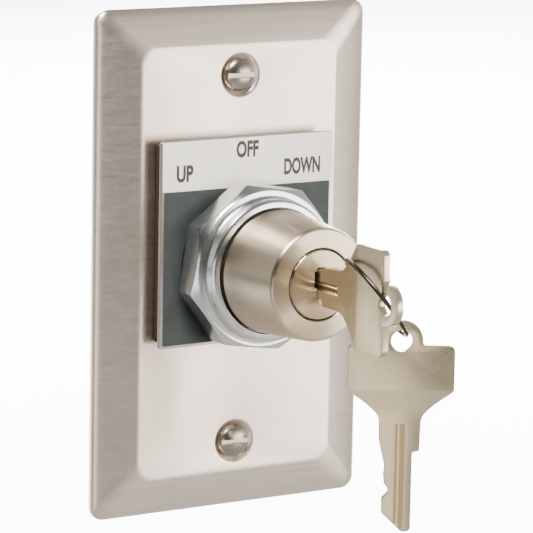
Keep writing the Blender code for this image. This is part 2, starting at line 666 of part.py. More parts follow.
def block_housing(prefix, side):
    low, high = mirrored((BLOCK_INNER, -BLOCK_HALF_HEIGHT, BLOCK_BACK),
                         (BLOCK_OUTER, BLOCK_HALF_HEIGHT, BLOCK_FRONT), side)
    housing = add_piece(prefix + "_housing", box_mesh(prefix + "_housing", low, high), "block_plastic")
    centre = (side * PLUNGER_OFFSET, 0)
    low, high = mirrored((CAVITY_INNER, -CAVITY_HALF_HEIGHT, CAVITY_BACK),
                         (BLOCK_OUTER + 2, CAVITY_HALF_HEIGHT, CAVITY_FRONT), side)
    boolean(housing, add_cutter(prefix + "_cavity", box_mesh(prefix + "_cavity", low, high)))
    bore = cylinder_mesh(prefix + "_bore", PLUNGER_RADIUS + GAP, CAVITY_FRONT - 1, BLOCK_FRONT + 1, centre,
                         SMALL_SEGMENTS)
    boolean(housing, add_cutter(prefix + "_bore", bore))
    half = TERMINAL_HALF_WIDTH + GAP
    slot = box_mesh(prefix + "_slots", (centre[0] - half, -20, TERMINAL_BACK - GAP),
                    (centre[0] + half, 20, TERMINAL_FRONT + GAP))
    boolean(housing, add_cutter(prefix + "_slots", slot))
    hole = cylinder_mesh(prefix + "_screw_hole", 1.35, BLOCK_BACK - 1, BLOCK_FRONT + 1,
                         (side * BLOCK_SCREW_X, BLOCK_SCREW_Y), SMALL_SEGMENTS)
    boolean(housing, add_cutter(prefix + "_screw_hole", hole))
    low, high = mirrored((BLOCK_OUTER + GAP, -BLOCK_HALF_HEIGHT, BLOCK_BACK),
                         (BLOCK_COVER_OUTER, BLOCK_HALF_HEIGHT, BLOCK_FRONT), side)
    add_piece(prefix + "_cover", box_mesh(prefix + "_cover", low, high), "block_plastic")


def terminals(prefix, side):
    """Brass strips with a raised fixed contact inside and a clamping screw outside."""
    x = side * PLUNGER_OFFSET
    for sign, end in ((1, "upper"), (-1, "lower")):
        name = "%s_terminal_%s" % (prefix, end)
        edge = rectangle(x - TERMINAL_HALF_WIDTH, min(sign * TERMINAL_START, sign * TERMINAL_END),
                         x + TERMINAL_HALF_WIDTH, max(sign * TERMINAL_START, sign * TERMINAL_END), 0.6, 2)
        hole = circle(1.8, (x, sign * TERMINAL_SCREW_OFFSET), SMALL_SEGMENTS)
        strip = add_piece(name, flat_mesh(name, [edge, hole], TERMINAL_BACK, TERMINAL_FRONT), "brass")
        pad = cylinder_mesh(name + "_pad", 1.4, TERMINAL_BACK + 0.4, TERMINAL_FRONT + 0.6,
                            (x, sign * CONTACT_OFFSET), SMALL_SEGMENTS)
        boolean(strip, add_cutter(name + "_pad", pad), "UNION")
        place = (x, sign * TERMINAL_SCREW_OFFSET, TERMINAL_BACK - GAP)
        small_screw("%s_terminal_screw_%s" % (prefix, end), place, 2.8, 1.5, 4.5, 2.0)


def plunger(prefix, side):
    """A round-tipped push rod through a brass bridge, with a foot and a pilot for its spring."""
    axis = new_empty(prefix + "_plunger_axis", WALL_FRAME, (side * PLUNGER_OFFSET, 0, 0))
    tip = CAM_MID_LEVEL - 0.5
    nose = arc((0, tip - PLUNGER_RADIUS), PLUNGER_RADIUS, 90, 0, 3)
    seat = BRIDGE_FRONT + GAP
    foot = BRIDGE_BACK - GAP
    profile = nose + [(PLUNGER_RADIUS, seat), (0.9, seat), (0.9, foot), (2.4, foot), (2.4, foot - 1.0),
                      (0.9, foot - 1.0), (0.9, foot - 2.5), (0, foot - 2.5)]
    profile[0] = (0, tip)
    turned(prefix + "_plunger", profile, "plunger_plastic", SMALL_SEGMENTS, False, parent=axis)
    edge = rectangle(-2.2, -6.6, 2.2, 6.6, 0.6, 2)
    name = prefix + "_contact_bridge"
    outline = [edge, circle(1.2, segments=SMALL_SEGMENTS)]
    bridge = add_piece(name, flat_mesh(name, outline, BRIDGE_BACK, BRIDGE_FRONT), "brass", parent=axis)
    for sign, end in ((1, "upper"), (-1, "lower")):
        pad = cylinder_mesh(name + end, 1.4, BRIDGE_BACK - 0.5, BRIDGE_BACK + 0.4, (0, sign * CONTACT_OFFSET),
                            SMALL_SEGMENTS)
        boolean(bridge, add_cutter(name + "_" + end, pad, parent=axis), "UNION")
    coil = wire_mesh(prefix + "_return_spring", coil_points(1.75, 5.6, 4.5, 7), 0.25)
    add_piece(prefix + "_return_spring", coil, "spring_steel",
              location=(side * PLUNGER_OFFSET, 0, CAVITY_BACK + 0.55))


def contact_block(prefix, side):
    block_housing(prefix, side)
    terminals(prefix, side)
    plunger(prefix, side)
    place = (side * BLOCK_SCREW_X, BLOCK_SCREW_Y, BLOCK_BACK - GAP)
    small_screw(prefix + "_block_screw", place, 2.1, 1.05, 16.5, 1.6)


# ---- keys and ring ------------------------------------------------------------------------------
def key_outline():
    """The key's edge with its tab's hole at the origin, +x to the right and the tip down -y.

    The left edge of the blade carries the cuts; the right edge is the straight back.
    """
    def level(along):
        return TAB_RADIUS - along

    meet = math.degrees(math.asin(level(WING_START) / TAB_RADIUS))
    right = arc((0, 0), TAB_RADIUS, 90, meet, 6)
    corner = (WING_HALF_WIDTH - WING_CORNER, level(WING_START) - WING_CORNER)
    right += arc(corner, WING_CORNER, 90, 0, 3)
    right += [(WING_HALF_WIDTH, level(WING_END) + 0.8), (WING_HALF_WIDTH - 0.7, level(WING_END) - 0.6),
              (SHANK_HALF_WIDTH + 1.2, level(SHANK_START) + 0.5), (SHANK_HALF_WIDTH, level(SHANK_START) - 1.0),
              (SHANK_HALF_WIDTH, level(SHANK_END))]
    left = [(-x, y) for x, y in reversed(right)][1:-1]
    tip = level(KEY_LENGTH)
    shoulder = level(SHANK_END + 0.3)
    blade = [(BLADE_BACK, shoulder), (BLADE_BACK, tip + 0.9), (BLADE_BACK - 0.5, tip + 0.2), (0.9, tip),
             (-0.4, tip + 1.2), (-BLADE_FRONT + 0.4, tip + 3.9), (-BLADE_FRONT, tip + 4.7)]
    for distance, depth in ((7.2, 0.0), (8.6, 1.3), (9.5, 1.3), (10.3, 0.5), (12.4, 0.3), (14.2, 0.5)):
        blade.append((depth - BLADE_FRONT, tip + distance))
    blade.append((-SHANK_HALF_WIDTH, tip + 20.0))
    return right + blade + left


def key_piece(name, parent):
    """One key, flat in its parent's xy plane: its tab's hole is at the origin."""
    half = KEY_THICKNESS / 2
    key = add_piece(name, flat_mesh(name, [key_outline(), circle(KEY_HOLE_RADIUS)], -half, half), "key_nickel",
                    parent=parent)
    groove_top = TAB_RADIUS - SHANK_START + 0.1
    groove_end = TAB_RADIUS - KEY_LENGTH - 1.0
    for sign, face in ((1, "front"), (-1, "back")):
        low, high = sorted((sign * (half - 0.45), sign * (half + 1)))
        groove = box_mesh(name + "_groove_" + face, (0.4, groove_end, low), (1.3, groove_top, high))
        boolean(key, add_cutter(name + "_groove_" + face, groove, parent=parent))
    return key


def keys_and_ring():
    """The key in the lock, the ring through its hole and the spare on the ring."""
    hole_level = KEY_TAB_END - TAB_RADIUS
    key_axis = new_empty("key_axis", WALL_FRAME, (0, 0, hole_level))
    key_axis.rotation_euler = (math.radians(90), 0, math.radians(-90))
    key_piece("key", key_axis)
    ring_axis = new_empty("ring_axis", WALL_FRAME, RING_CENTRE)
    ring_axis.rotation_euler = RING_NORMAL.to_track_quat("Z", "Y").to_euler()
    points = [(x, y, 0) for x, y in circle(RING_RADIUS, segments=40)]
    add_piece("key_ring", wire_mesh("key_ring", points, RING_WIRE, cyclic=True, resolution=1), "ring_steel", parent=ring_axis)
    down = Vector((0, -1, 0))
    steepest = (down - RING_NORMAL * down.dot(RING_NORMAL)).normalized()
    lowest = RING_CENTRE + RING_RADIUS * steepest
    across = Vector((math.cos(SPARE_TURN), 0, math.sin(SPARE_TURN)))
    hang = lowest + across * SPARE_HANG.x + Vector((0, SPARE_HANG.y, 0))
    spare_axis = new_empty("spare_axis", WALL_FRAME, hang)
    spare_axis.rotation_euler = (0, -SPARE_TURN, 0)
    key_piece("spare_key", spare_axis)


# ---- build --------------------------------------------------------------------------------------
wall_plate()
plate_screws()
legend()
gaskets()
ring_nut()
operator_body()
lock_barrel()
rear_cover()
detent()
plug_group()
contact_block("up", -1)
contact_block("down", 1)
keys_and_ring()
bpy.context.view_layer.update()
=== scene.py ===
# %% [markdown]
# # A selector key switch on its steel wall plate
# A key switch like this raises and lowers a door or a shade. Its lock sits in the middle of a pressed
# steel plate, a small legend names the three positions, and a second key hangs on the ring.
# The moving frame already exists: fifty-four solids, sorted into bodies that turn and slide. This
# lesson dresses that frame. It builds finer shells for the pieces that show, gives every piece a
# finish made of nodes, and sets up a small photo studio.

# %% Load the frame
import json
import math

import bmesh
import bpy
from mathutils import Matrix, Vector


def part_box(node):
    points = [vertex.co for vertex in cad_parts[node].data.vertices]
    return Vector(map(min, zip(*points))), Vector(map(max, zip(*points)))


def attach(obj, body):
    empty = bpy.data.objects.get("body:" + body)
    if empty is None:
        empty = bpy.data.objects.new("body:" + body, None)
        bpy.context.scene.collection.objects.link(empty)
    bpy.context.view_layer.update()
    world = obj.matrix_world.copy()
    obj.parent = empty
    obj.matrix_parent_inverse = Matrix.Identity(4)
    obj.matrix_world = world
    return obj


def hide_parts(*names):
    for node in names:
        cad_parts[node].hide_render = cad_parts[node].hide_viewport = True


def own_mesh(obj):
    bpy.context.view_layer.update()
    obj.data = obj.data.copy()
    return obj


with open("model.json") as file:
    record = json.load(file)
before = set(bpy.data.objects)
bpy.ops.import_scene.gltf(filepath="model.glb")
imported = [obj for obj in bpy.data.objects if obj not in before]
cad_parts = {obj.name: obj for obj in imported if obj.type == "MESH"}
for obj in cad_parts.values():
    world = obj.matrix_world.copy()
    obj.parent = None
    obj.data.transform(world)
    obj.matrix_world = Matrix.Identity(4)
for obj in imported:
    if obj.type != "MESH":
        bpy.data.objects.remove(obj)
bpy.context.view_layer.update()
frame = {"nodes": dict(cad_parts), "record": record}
MM = 0.001
WELD = 0.002 * MM

# %% [markdown]
# ## Working on a bench
# The switch hangs on a wall, so its front looks along -Y. Turned parts are easier to think about as
# if they lay on a bench: x to the right, y up the wall and z out of the wall, all in millimetres.
# One matrix stands a bench mesh up against the wall. The origin is on the wall behind the lock.

# %% Bench to wall
STAND_UP = Matrix.Rotation(math.radians(90), 4, "X")


def bench_box(node):
    """A node's lowest and highest corner in bench millimetres."""
    low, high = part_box(node)
    return (Vector((low.x, low.z, -high.y)) / MM, Vector((high.x, high.z, -low.y)) / MM)


PLATE_LOW, PLATE_HIGH = bench_box("wall_plate")
print("plate: %.1f wide, %.1f high, %.1f deep" % tuple(PLATE_HIGH - PLATE_LOW))

# %% [markdown]
# ## One way to add a piece
# Every new piece goes through the same steps: it gets its finish, its curved faces are shaded
# smooth while its true edges stay crisp, and it rides on a body of the frame in place of the
# rougher solid that it stands for.


# %% Adding a piece
def add_piece(name, mesh, finish, body, nodes=(), crisp=35):
    """A mesh in wall coordinates becomes one piece of the object."""
    mesh.materials.clear()
    mesh.materials.append(finish)
    mesh.shade_smooth()
    mesh.set_sharp_from_angle(angle=math.radians(crisp))
    piece = bpy.data.objects.new(name, mesh)
    bpy.context.scene.collection.objects.link(piece)
    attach(piece, body)
    if nodes:
        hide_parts(*nodes)
    print("%-22s %5d faces on %s" % (name, len(mesh.polygons), body))
    return piece


def mesh_from(bm, name, place=STAND_UP):
    """Welds and closes a bmesh, turns its faces outward and stands it up."""
    bmesh.ops.remove_doubles(bm, verts=bm.verts, dist=WELD)
    bmesh.ops.recalc_face_normals(bm, faces=bm.faces)
    mesh = bpy.data.meshes.new(name)
    bm.to_mesh(mesh)
    bm.free()
    mesh.transform(place)
    return mesh


# %% [markdown]
# ## Shapes that machines make
# Three machines made nearly everything here. A lathe turns a profile about the lock's axis. A press
# punches an outline out of sheet, and tumbling rounds the edges a little. A wire machine bends
# round wire. Each machine becomes one short function.


# %% Outlines
def circle(radius, centre=(0, 0), count=96):
    return [(centre[0] + radius * math.cos(math.tau * i / count),
             centre[1] + radius * math.sin(math.tau * i / count)) for i in range(count)]


def arc(centre, radius, start, end, count):
    """Points from one angle to another, in degrees."""
    angles = [math.radians(start + (end - start) * i / count) for i in range(count + 1)]
    return [(centre[0] + radius * math.cos(a), centre[1] + radius * math.sin(a)) for a in angles]


def rectangle(left, bottom, right, top, corner, steps=8):
    """A rectangle with round corners, anticlockwise from the bottom right corner."""
    outline = []
    corners = ((right - corner, bottom + corner, -90), (right - corner, top - corner, 0),
               (left + corner, top - corner, 90), (left + corner, bottom + corner, 180))
    for x, y, start in corners:
        outline += arc((x, y), corner, start, start + 90, steps)
    return outline


# %% Lathe, press and wire machine
def turned(name, profile, count=128, centre=(0, 0)):
    """Spins a closed profile of (radius, height) points about the bench's z axis."""
    bm = bmesh.new()
    rings = []
    for i in range(count):
        c, s = math.cos(math.tau * i / count), math.sin(math.tau * i / count)
        rings.append([bm.verts.new(((centre[0] + r * c) * MM, (centre[1] + r * s) * MM, z * MM))
                      for r, z in profile])
    for i, here in enumerate(rings):
        after = rings[(i + 1) % count]
        for k in range(len(here)):
            j = (k + 1) % len(here)
            if profile[k][0] > 0 or profile[j][0] > 0:
                bm.faces.new((here[k], here[j], after[j], after[k]))
    bmesh.ops.remove_doubles(bm, verts=bm.verts, dist=WELD)
    bmesh.ops.dissolve_degenerate(bm, edges=bm.edges, dist=0.001 * MM)
    return mesh_from(bm, name)


def pressed(name, outlines, back, front, edge=0.0, steps=2, place=STAND_UP):
    """Flat stock cut to an outline with holes, its edges rounded by `edge`."""
    curve = bpy.data.curves.new(name, "CURVE")
    curve.dimensions = "2D"
    curve.fill_mode = "BOTH"
    for outline in outlines:
        spline = curve.splines.new("POLY")
        spline.points.add(len(outline) - 1)
        for point, (x, y) in zip(spline.points, outline):
            point.co = (x * MM, y * MM, 0, 1)
        spline.use_cyclic_u = True
    curve.extrude = ((front - back) / 2 - edge) * MM
    curve.bevel_depth = edge * MM
    curve.bevel_resolution = steps
    curve.offset = -edge * MM
    return curve_mesh(curve, name, place @ Matrix.Translation((0, 0, (front + back) / 2 * MM)))


def curve_mesh(curve, name, place):
    """Turns a curve into a welded mesh."""
    holder = bpy.data.objects.new(name, curve)
    bpy.context.scene.collection.objects.link(holder)
    ready = holder.evaluated_get(bpy.context.evaluated_depsgraph_get())
    bm = bmesh.new()
    bm.from_mesh(bpy.data.meshes.new_from_object(ready))
    bpy.data.objects.remove(holder)
    return mesh_from(bm, name, place)


def wire(name, points, radius, closed=False, place=STAND_UP):
    """Round wire bent along a line of points."""
    curve = bpy.data.curves.new(name, "CURVE")
    curve.dimensions = "3D"
    spline = curve.splines.new("POLY")
    spline.points.add(len(points) - 1)
    for point, (x, y, z) in zip(spline.points, points):
        point.co = (x * MM, y * MM, z * MM, 1)
    spline.use_cyclic_u = closed
    curve.bevel_depth = radius * MM
    curve.bevel_resolution = 4
    curve.use_fill_caps = True
    return curve_mesh(curve, name, place)


# %% [markdown]
# ## Finishes as node trees
# A metal is never one flat grey. Its colour drifts a little and the last tool leaves a grain. Each
# finish below starts from the same three ideas: a slow noise for colour, a finer noise for the
# grain, and a bump from that grain. Object coordinates are metres here,
# so a scale of 1000 gives one feature to a millimetre.


# %% Node helpers
class Finish:
    """A material with its shader, and short ways to add and link nodes."""

    def __init__(self, name, colour, metallic, roughness, **sockets):
        self.material = bpy.data.materials.new(name)
        self.material.use_nodes = True
        self.nodes = self.material.node_tree.nodes
        self.shader = self.nodes["Principled BSDF"]
        self.shader.inputs["Base Color"].default_value = (*colour, 1)
        self.shader.inputs["Metallic"].default_value = metallic
        self.shader.inputs["Roughness"].default_value = roughness
        for socket, value in sockets.items():
            self.shader.inputs[socket.replace("_", " ")].default_value = value
        self.place = self.add("ShaderNodeTexCoord").outputs["Object"]

    def add(self, kind, **settings):
        node = self.nodes.new(kind)
        for key, value in settings.items():
            setattr(node, key, value)
        return node

    def link(self, source, target):
        self.material.node_tree.links.new(source, target)

    def noise(self, scale, stretch=(1, 1, 1), detail=3.0, rough=0.55, place=None):
        """Noise on object coordinates, stretched along some axes."""
        mapping = self.add("ShaderNodeMapping")
        mapping.inputs["Scale"].default_value = stretch
        self.link(place or self.place, mapping.inputs["Vector"])
        noise = self.add("ShaderNodeTexNoise")
        noise.inputs["Scale"].default_value = scale
        noise.inputs["Detail"].default_value = detail
        noise.inputs["Roughness"].default_value = rough
        self.link(mapping.outputs["Vector"], noise.inputs["Vector"])
        return noise.outputs["Fac"]

    def ramp(self, value, *stops):
        """Maps a value to greys or colours: stops are (position, colour)."""
        ramp = self.add("ShaderNodeValToRGB")
        elements = ramp.color_ramp.elements
        while len(elements) < len(stops):
            elements.new(0.5)
        for element, (position, colour) in zip(elements, stops):
            element.position = position
            element.color = (*colour, 1) if hasattr(colour, "__len__") else (colour, colour, colour, 1)
        self.link(value, ramp.inputs["Fac"])
        return ramp.outputs["Color"]

    def mix(self, factor, a, b, blend="MIX"):
        """Mixes two colours or colour outputs."""
        mix = self.add("ShaderNodeMix", data_type="RGBA", blend_type=blend)
        for value, socket in ((factor, mix.inputs[0]), (a, mix.inputs[6]), (b, mix.inputs[7])):
            if isinstance(value, bpy.types.NodeSocket):
                self.link(value, socket)
            else:
                socket.default_value = (*value, 1) if hasattr(value, "__len__") else value
        return mix.outputs[2]

    def number(self, operation, a, b=0.0):
        node = self.add("ShaderNodeMath", operation=operation)
        for value, socket in ((a, node.inputs[0]), (b, node.inputs[1])):
            if isinstance(value, bpy.types.NodeSocket):
                self.link(value, socket)
            else:
                socket.default_value = value
        return node.outputs[0]

    def paint(self, colour):
        self.link(colour, self.shader.inputs["Base Color"])

    def gloss(self, value, low, high):
        """Roughness from a value between 0 and 1."""
        span = self.add("ShaderNodeMapRange")
        span.inputs["To Min"].default_value = low
        span.inputs["To Max"].default_value = high
        self.link(value, span.inputs["Value"])
        self.link(span.outputs["Result"], self.shader.inputs["Roughness"])

    def bump(self, height, depth):
        """Raises the surface by up to `depth` millimetres."""
        bump = self.add("ShaderNodeBump")
        bump.inputs["Strength"].default_value = 1.0
        bump.inputs["Distance"].default_value = depth * MM
        self.link(height, bump.inputs["Height"])
        self.link(bump.outputs["Normal"], self.shader.inputs["Normal"])

    def grain(self, amount, turned_part=False):
        """Stretches reflections across the grain: upward on brushed sheet, outward on turned metal."""
        surface = self.add("ShaderNodeNewGeometry")
        across = self.add("ShaderNodeVectorMath", operation="CROSS_PRODUCT")
        across.inputs[1].default_value = (1, 0, 0)
        if turned_part:
            around = self.add("ShaderNodeVectorMath", operation="CROSS_PRODUCT")
            around.inputs[0].default_value = (0, 1, 0)
            self.link(surface.outputs["Position"], around.inputs[1])
            self.link(around.outputs["Vector"], across.inputs[1])
        self.link(surface.outputs["Normal"], across.inputs[0])
        self.shader.inputs["Anisotropic"].default_value = amount
        self.link(across.outputs["Vector"], self.shader.inputs["Tangent"])


def shade(colour, factor):
    """The same colour, darker or lighter."""
    return tuple(min(1.0, c * factor) for c in colour)


# %% [markdown]
# ### Metals
# The plate is brushed along its width, so its grain is noise stretched along x: long in x and very
# fine in z. Turned parts carry rings from the lathe instead, so their grain follows the distance
# from the lock's axis. On both, fine scratches spread a highlight across the grain: the shader does
# it with its anisotropy and a tangent worked out from the surface's own direction. Cast and stamped
# parts have a cloudy, even grain.


# %% Metal finishes
def brushed_metal(name, colour, roughness, grain, stretch, drift=0.06, **sockets):
    """Straight grain from a belt: long along one axis, fine across it."""
    finish = Finish(name, colour, 1.0, roughness, **sockets)
    cloud = finish.noise(60, detail=2)
    streak = finish.noise(grain, stretch, detail=4, rough=0.7)
    toned = finish.ramp(cloud, (0.3, shade(colour, 1 - drift)), (0.7, shade(colour, 1 + drift)))
    lined = finish.ramp(streak, (0.3, 0.82), (0.7, 1.0))
    finish.paint(finish.mix(0.7, toned, lined, "MULTIPLY"))
    finish.gloss(streak, roughness - 0.07, roughness + 0.09)
    finish.bump(streak, 0.004)
    finish.grain(0.55)
    return finish


def lathe_metal(name, colour, roughness, rings=2600, drift=0.05, stretch=0.85, **sockets):
    """Fine rings about the lock's axis."""
    finish = Finish(name, colour, 1.0, roughness, **sockets)
    split = finish.add("ShaderNodeSeparateXYZ")
    finish.link(finish.place, split.inputs[0])
    across = finish.number("MULTIPLY", split.outputs["X"], split.outputs["X"])
    up = finish.number("MULTIPLY", split.outputs["Z"], split.outputs["Z"])
    radius = finish.number("SQRT", finish.number("ADD", across, up))
    line = finish.add("ShaderNodeCombineXYZ")
    finish.link(radius, line.inputs["X"])
    finish.link(split.outputs["Y"], line.inputs["Y"])
    groove = finish.noise(rings, detail=3, rough=0.7, place=line.outputs[0])
    cloud = finish.noise(90, detail=3)
    toned = finish.ramp(cloud, (0.3, shade(colour, 1 - drift)), (0.7, shade(colour, 1 + drift)))
    lined = finish.ramp(groove, (0.3, 0.9), (0.7, 1.0))
    finish.paint(finish.mix(0.6, toned, lined, "MULTIPLY"))
    finish.gloss(groove, roughness - 0.05, roughness + 0.08)
    finish.bump(groove, 0.002)
    finish.grain(stretch, turned_part=True)
    return finish


def cloudy_metal(name, colour, roughness, grain, depth=0.004, drift=0.07, **sockets):
    """Even grain of a casting, a stamping or a plated part."""
    finish = Finish(name, colour, 1.0, roughness, **sockets)
    cloud = finish.noise(140, detail=4)
    speck = finish.noise(grain, detail=3, rough=0.6)
    finish.paint(finish.ramp(cloud, (0.3, shade(colour, 1 - drift)), (0.7, shade(colour, 1 + drift))))
    finish.gloss(speck, roughness - 0.06, roughness + 0.08)
    finish.bump(speck, depth)
    return finish


def moulded(name, colour, roughness, grain=2500, depth=0.006, drift=0.08, **sockets):
    """Plastic, rubber or baked paint: a faint mottle and the texture of the mould."""
    finish = Finish(name, colour, 0.0, roughness, **sockets)
    cloud = finish.noise(220, detail=3)
    speck = finish.noise(grain, detail=2)
    finish.paint(finish.ramp(cloud, (0.3, shade(colour, 1 - drift)), (0.7, shade(colour, 1 + drift))))
    finish.gloss(speck, roughness - 0.06, roughness + 0.06)
    finish.bump(speck, depth)
    return finish


STAINLESS = brushed_metal("brushed stainless", (0.80, 0.69, 0.59), 0.31, 900, (0.02, 1, 1.6), 0.04)
SCREW_PLATE = cloudy_metal("plated screw", (0.34, 0.30, 0.25), 0.25, 1500, 0.003)
LEGEND_METAL = brushed_metal("legend sheet", (0.62, 0.58, 0.53), 0.34, 700, (0.05, 1, 1))
LEGEND_WHITE = moulded("legend off-white print", (0.96, 0.90, 0.83), 0.5, 1800, 0.003, 0.02)
LEGEND_SLATE = moulded("legend slate print", (0.050, 0.058, 0.056), 0.5, 1800, 0.003, 0.10,
                       Specular_IOR_Level=0.15)
LETTER_GREY = moulded("lettering", (0.06, 0.05, 0.045), 0.5, 1800, 0.002, Specular_IOR_Level=0.2)
SPACER = moulded("spacer", (0.030, 0.022, 0.015), 0.6, Specular_IOR_Level=0.2)
RUBBER = moulded("gasket rubber", (0.014, 0.012, 0.009), 0.7, Specular_IOR_Level=0.12)
ZINC = lathe_metal("bright zinc", (0.74, 0.75, 0.755), 0.18, 1800, 0.03, stretch=0.3)
SATIN_NICKEL = lathe_metal("satin nickel", (0.65, 0.555, 0.42), 0.31, 2600, 0.03)
PLUG_NICKEL = lathe_metal("plug nickel", (0.52, 0.43, 0.30), 0.30, 2600, 0.03)
KEY_NICKEL = cloudy_metal("key nickel silver", (0.67, 0.56, 0.38), 0.29, 1600, 0.0004, 0.05)
RING_STEEL = cloudy_metal("ring steel", (0.075, 0.066, 0.056), 0.28, 1200, 0.002)
DIE_CAST = cloudy_metal("die casting", (0.42, 0.42, 0.42), 0.45, 900, 0.02)
STEEL = cloudy_metal("zinc plated steel", (0.62, 0.62, 0.60), 0.30, 1500, 0.003)
SPRING = cloudy_metal("spring steel", (0.50, 0.49, 0.47), 0.28, 1500, 0.002)
BRASS = cloudy_metal("brass", (0.78, 0.56, 0.25), 0.30, 1300, 0.003)
WAFER_BRASS = cloudy_metal("tarnished brass", (0.16, 0.11, 0.06), 0.45, 1300, 0.003)
CAM_PLASTIC = moulded("cam acetal", (0.62, 0.60, 0.54), 0.45)
BLOCK_PLASTIC = moulded("block thermoset", (0.045, 0.045, 0.047), 0.48)
ROD_PLASTIC = moulded("push rod nylon", (0.60, 0.10, 0.07), 0.42)

# %% [markdown]
# Every solid of the frame that stays visible takes one of these finishes through the record's slot
# for it. The moulded plastic, cast, brass and steel screw solids also get a small bevel that rounds
# their edges as a mould or a tumbling drum would, so that each edge catches a line of light.

# %% Finish for every slot
SLOT_FINISH = {
    "brushed_stainless": STAINLESS, "plated_screw": SCREW_PLATE, "legend_dark": LEGEND_METAL,
    "spacer_black": SPACER, "gasket_rubber": RUBBER, "bright_zinc": ZINC, "satin_nickel": SATIN_NICKEL,
    "plug_nickel": PLUG_NICKEL, "die_cast": DIE_CAST, "steel_screw": STEEL, "cam_plastic": CAM_PLASTIC,
    "block_plastic": BLOCK_PLASTIC, "plunger_plastic": ROD_PLASTIC, "contact_brass": BRASS,
    "wafer_brass": WAFER_BRASS, "spring_steel": SPRING, "key_nickel": KEY_NICKEL, "ring_steel": RING_STEEL,
}
SLOT_OF = {row["node"]: row["material_slot"] for row in frame["record"]["subparts"]}
EDGE_OF = {"block_plastic": 0.35, "die_cast": 0.3, "contact_brass": 0.12, "steel_screw": 0.12,
           "cam_plastic": 0.2, "plunger_plastic": 0.12}
for name, node in frame["nodes"].items():
    finish = SLOT_FINISH[SLOT_OF[name]]
    for place in node.material_slots:
        place.material = finish.material
    edge = EDGE_OF.get(SLOT_OF[name])
    if edge:
        weld = node.modifiers.new("weld", "WELD")
        weld.merge_threshold = WELD
        bevel = node.modifiers.new("edges", "BEVEL")
        bevel.width = edge * MM
        bevel.segments = 2
        bevel.limit_method = "ANGLE"
        bevel.angle_limit = math.radians(40)
        bevel.harden_normals = True
print(len(SLOT_OF), "nodes in", len(set(SLOT_OF.values())), "slots")

# %% [markdown]
# ## The wall plate
# A press draws this plate from one sheet of stainless steel: a short skirt touches the wall, a broad
# rim slopes up from it, and the face is flat. The shell is lofted from rounded rectangles, each one
# a little smaller and higher than the last. The face is filled round three holes, two of them with
# dimples for the screw heads, and a Solidify modifier gives the sheet its thickness.

# %% The plate's levels
HALF_X, HALF_Y, PLATE_TOP = PLATE_HIGH.x, PLATE_HIGH.y, PLATE_HIGH.z
RIM_SIDE, RIM_END = 9.4, 8.4
SHEET = 0.9
SCREW_HEAD = 3.6
SCREW_Y = bench_box("plate_screw_top")[1].y - SCREW_HEAD
OPENING = 14.9


def rim_levels():
    """(share of the rim's width, height, corner radius) from the wall to the flat face."""
    levels = [(0.0, 0.0, 3.2), (0.0, 0.9, 3.2), (0.012, 1.2, 3.15), (0.04, 1.45, 3.1), (0.075, 1.68, 3.0)]
    for i in range(1, 13):
        share = i / 12
        levels.append((0.075 + 0.865 * share, 1.68 + 2.66 * share ** 0.86, 3.0 + 1.2 * share))
    return levels + [(0.97, 4.42, 4.3), (1.0, 4.50, 4.4), (1.04, 4.56, 4.5), (1.10, PLATE_TOP, 4.6)]


# %% Loft the rim, fill the face and sink the dimples
def hole_rings(bm, centre, levels, count):
    """Rings of a round hole, from the face inward; returns the edges of the outer ring."""
    rings = []
    for radius, height in levels:
        rings.append([bm.verts.new((x * MM, y * MM, height * MM)) for x, y in circle(radius, centre, count)])
    for upper, lower in zip(rings, rings[1:]):
        for i in range(count):
            j = (i + 1) % count
            bm.faces.new((upper[i], upper[j], lower[j], lower[i]))
    top = rings[0]
    return [bm.edges.get((top[i], top[(i + 1) % count])) or bm.edges.new((top[i], top[(i + 1) % count]))
            for i in range(count)]


def plate_shell():
    bm = bmesh.new()
    loops = []
    for share, height, corner in rim_levels():
        x, y = HALF_X - RIM_SIDE * share, HALF_Y - RIM_END * share
        loops.append([bm.verts.new((u * MM, v * MM, height * MM))
                      for u, v in rectangle(-x, -y, x, y, corner, 10)])
    for lower, upper in zip(loops, loops[1:]):
        for i in range(len(lower)):
            j = (i + 1) % len(lower)
            bm.faces.new((lower[i], lower[j], upper[j], upper[i]))
    last = loops[-1]
    border = [bm.edges.get((last[i], last[(i + 1) % len(last)])) for i in range(len(last))]
    top = PLATE_TOP
    border += hole_rings(bm, (0, 0), [(OPENING, top), (OPENING, top - 0.1)], 96)
    dimple = [(5.3, top), (5.0, top - 0.03), (4.75, top - 0.14), (4.45, top - 0.36), (4.0, top - 0.62),
              (3.75, top - 0.72), (2.2, top - 2.0)]
    for sign in (1, -1):
        border += hole_rings(bm, (0, sign * SCREW_Y), dimple, 48)
    bmesh.ops.triangle_fill(bm, edges=border, use_beauty=True, normal=(0, 0, 1))
    return mesh_from(bm, "plate_shell")


shell = add_piece("plate_shell", plate_shell(), STAINLESS.material, "operator", ["wall_plate"],
                  crisp=25)
sheet = shell.modifiers.new("sheet", "SOLIDIFY")
sheet.thickness = SHEET * MM
sheet.offset = -1
sheet.use_even_offset = True

# %% [markdown]
# ## The plate's two screws
# These are oval-head screws: a low dome above a cone that sinks into the dimple. The head is turned,
# the slot is milled with a Boolean, and the thread, which never shows, is simply turned with the
# shank as a row of ring-shaped ridges.


# %% Plate screws
def cut(mesh, cutter):
    """Mills one mesh out of another with an exact Boolean."""
    blank, tool = bpy.data.objects.new("blank", mesh), bpy.data.objects.new("tool", cutter)
    for holder in (blank, tool):
        bpy.context.scene.collection.objects.link(holder)
    mill = blank.modifiers.new("mill", "BOOLEAN")
    mill.object, mill.operation, mill.solver = tool, "DIFFERENCE", "EXACT"
    result = bpy.data.meshes.new_from_object(blank.evaluated_get(bpy.context.evaluated_depsgraph_get()))
    for holder in (blank, tool):
        bpy.data.objects.remove(holder)
    return result


